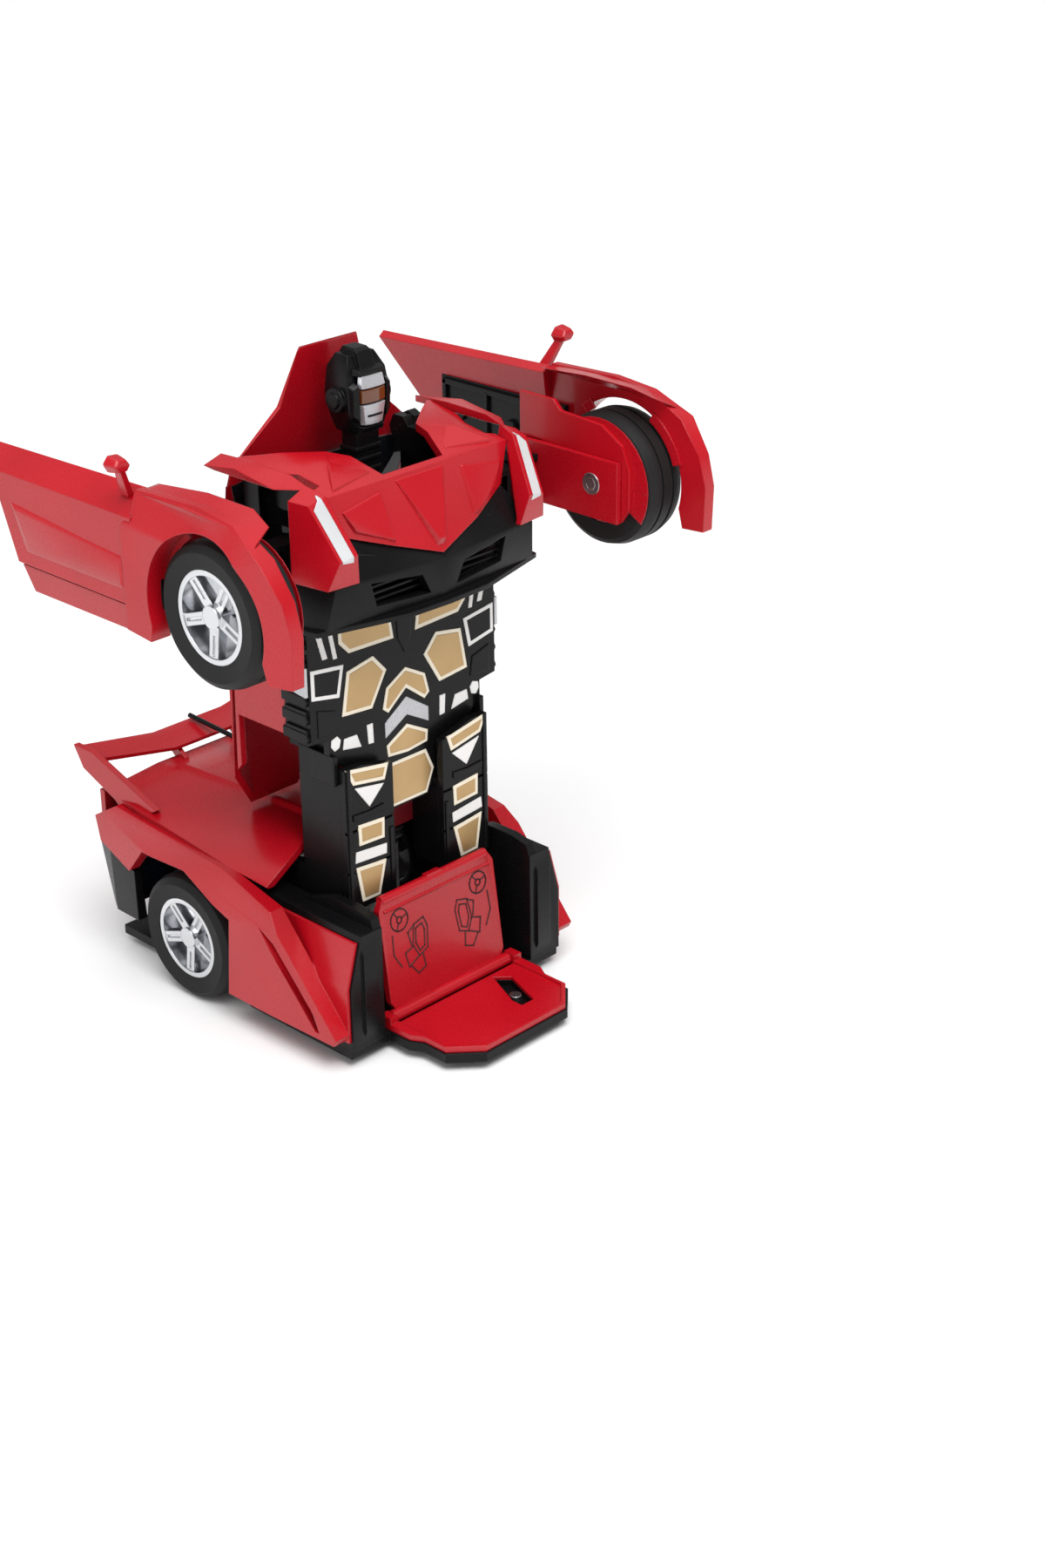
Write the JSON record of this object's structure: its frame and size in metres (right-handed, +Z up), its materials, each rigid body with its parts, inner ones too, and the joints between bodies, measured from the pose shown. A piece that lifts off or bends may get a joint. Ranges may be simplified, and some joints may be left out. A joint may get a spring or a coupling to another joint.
{
  "type": "transforming robot car",
  "caption": "Toy sports car standing in its robot shape: folding torso, level chest, swinging door arms, rising head and free-rolling wheels.",
  "frame": {"origin": "centre of the bounding box's bottom, on the surface the robot stands on", "axes": "+X the way the robot and the car face, +Y to its left, +Z up"},
  "size_m": [0.152, 0.174, 0.1988],
  "materials": {
    "red_plastic": "glossy moulded red plastic",
    "black_plastic": "semi-gloss moulded black plastic",
    "tyre_rubber": "soft black rubber",
    "chrome_plastic": "vacuum-plated plastic",
    "steel": "bright steel",
    "dark_glass": "smoked glossy plastic",
    "clear_lens": "white lamp lens",
    "red_lens": "clear red lamp lens",
    "battery_wrap": "shrink sleeve",
    "board": "printed circuit board",
    "white_plastic": "natural nylon",
    "silver_plastic": "silver painted plastic",
    "eye_lens": "amber visor"
  },
  "bodies": {
    "base": {"chassis_floor": "black_plastic", "chassis_screws": "steel", "seat_tray": "red_plastic", "seat_pin": "red_plastic", "inner_fenders": "black_plastic", "rear_body_shell": "red_plastic", "tail_lights": "red_lens", "rear_bumper": "black_plastic", "spoiler_wing": "red_plastic", "antenna": "black_plastic", "battery_pack": "battery_wrap", "battery_cover": "black_plastic", "circuit_board": "board", "gearbox_frames": "white_plastic", "drive_motors": "steel", "hip_motor": "steel"},
    "switch": {"power_switch": "black_plastic"},
    "pinion_left": {"motor_pinion_left": "white_plastic"},
    "pinion_right": {"motor_pinion_right": "white_plastic"},
    "hip_pinion": {"hip_pinion": "white_plastic"},
    "wheel_rear_left": {"rear_axle_left": "steel", "rear_left_rim": "chrome_plastic", "rear_left_tyre": "tyre_rubber"},
    "wheel_rear_right": {"rear_axle_right": "steel", "rear_right_rim": "chrome_plastic", "rear_right_tyre": "tyre_rubber"},
    "seat": {"seat_back": "red_plastic"},
    "torso": {"hip_shaft": "steel", "torso_front_plate": "black_plastic", "leg_covers": "black_plastic", "shoulder_arms": "black_plastic", "torso_sides": "red_plastic", "torso_frame": "black_plastic", "roof_panel": "red_plastic", "windscreen": "dark_glass", "side_windows": "dark_glass"},
    "head": {"head_shell": "black_plastic", "face_plate": "silver_plastic", "eye_lens": "eye_lens"},
    "chest": {"hood_panel": "red_plastic", "lamp_strips": "red_plastic", "headlights": "clear_lens", "front_bumper": "black_plastic", "chest_frame": "black_plastic"},
    "link_left": {"arm_link_left": "black_plastic"},
    "arm_left": {"arm_pins_left": "steel", "door_panel_left": "red_plastic", "front_fender_left": "red_plastic", "arm_inner_panel_left": "black_plastic", "mirror_left": "red_plastic"},
    "wheel_front_left": {"front_left_rim": "chrome_plastic", "front_left_tyre": "tyre_rubber"},
    "link_right": {"arm_link_right": "black_plastic"},
    "arm_right": {"arm_pins_right": "steel", "door_panel_right": "red_plastic", "front_fender_right": "red_plastic", "arm_inner_panel_right": "black_plastic", "mirror_right": "red_plastic"},
    "wheel_front_right": {"front_right_rim": "chrome_plastic", "front_right_tyre": "tyre_rubber"}
  },
  "joints": [
    {"name": "fold", "type": "hinge", "parent": "base", "child": "torso", "pos_m": [-0.0025, 0, 0.0425], "axis": [0, 1, 0], "range_deg": [0, 90]},
    {"name": "chest_level", "type": "hinge", "parent": "torso", "child": "chest", "pos_m": [0.0025, 0, 0.1675], "axis": [0, 1, 0], "range_deg": [-90, 0]},
    {"name": "head_rise", "type": "slide", "parent": "torso", "child": "head", "axis": [0, 0, 1], "range_m": [-0.032, 0]},
    {"name": "seat_fold", "type": "hinge", "parent": "base", "child": "seat", "pos_m": [0.044, 0, 0.008], "axis": [0, 1, 0], "range_deg": [0, 98]},
    {"name": "hip_pinion_spin", "type": "hinge", "parent": "base", "child": "hip_pinion", "pos_m": [-0.0155, 0, 0.0425], "axis": [0, 1, 0], "range_deg": [-145, 0]},
    {"name": "link_swing_left", "type": "hinge", "parent": "chest", "child": "link_left", "pos_m": [0.017, 0.026, 0.147], "axis": [0, 0, 1], "range_deg": [0, 90]},
    {"name": "arm_swing_left", "type": "hinge", "parent": "link_left", "child": "arm_left", "pos_m": [0.017, 0.059, 0.147], "axis": [0, 0, 1], "range_deg": [-90, 0]},
    {"name": "front_wheel_left_spin", "type": "hinge", "parent": "arm_left", "child": "wheel_front_left", "pos_m": [0.043, 0.073, 0.15], "axis": [0, 1, 0], "continuous": true},
    {"name": "rear_wheel_left_spin", "type": "hinge", "parent": "base", "child": "wheel_rear_left", "pos_m": [-0.02, 0.04, 0.02], "axis": [0, 1, 0], "continuous": true},
    {"name": "pinion_left_spin", "type": "hinge", "parent": "base", "child": "pinion_left", "pos_m": [-0.032, 0.023, 0.02], "axis": [0, 1, 0], "continuous": true},
    {"name": "link_swing_right", "type": "hinge", "parent": "chest", "child": "link_right", "pos_m": [0.017, -0.026, 0.147], "axis": [0, 0, 1], "range_deg": [-90, 0]},
    {"name": "arm_swing_right", "type": "hinge", "parent": "link_right", "child": "arm_right", "pos_m": [0.017, -0.059, 0.147], "axis": [0, 0, 1], "range_deg": [0, 90]},
    {"name": "front_wheel_right_spin", "type": "hinge", "parent": "arm_right", "child": "wheel_front_right", "pos_m": [0.043, -0.073, 0.15], "axis": [0, 1, 0], "continuous": true},
    {"name": "rear_wheel_right_spin", "type": "hinge", "parent": "base", "child": "wheel_rear_right", "pos_m": [-0.02, -0.04, 0.02], "axis": [0, 1, 0], "continuous": true},
    {"name": "pinion_right_spin", "type": "hinge", "parent": "base", "child": "pinion_right", "pos_m": [-0.032, -0.023, 0.02], "axis": [0, 1, 0], "continuous": true},
    {"name": "switch_slide", "type": "slide", "parent": "base", "child": "switch", "axis": [1, 0, 0], "range_m": [0, 0.004]}
  ],
  "couplings": [
    {"joint": "chest_level", "follows": "fold", "ratio": -1},
    {"joint": "head_rise", "follows": "fold", "m_per_rad": -0.020372},
    {"joint": "seat_fold", "follows": "fold", "ratio": 1.088},
    {"joint": "hip_pinion_spin", "follows": "fold", "ratio": -1.6},
    {"joint": "link_swing_left", "follows": "fold", "ratio": 1},
    {"joint": "arm_swing_left", "follows": "fold", "ratio": -1},
    {"joint": "pinion_left_spin", "follows": "rear_wheel_left_spin", "ratio": -2},
    {"joint": "link_swing_right", "follows": "fold", "ratio": -1},
    {"joint": "arm_swing_right", "follows": "fold", "ratio": 1},
    {"joint": "pinion_right_spin", "follows": "rear_wheel_right_spin", "ratio": -2}
  ]
}
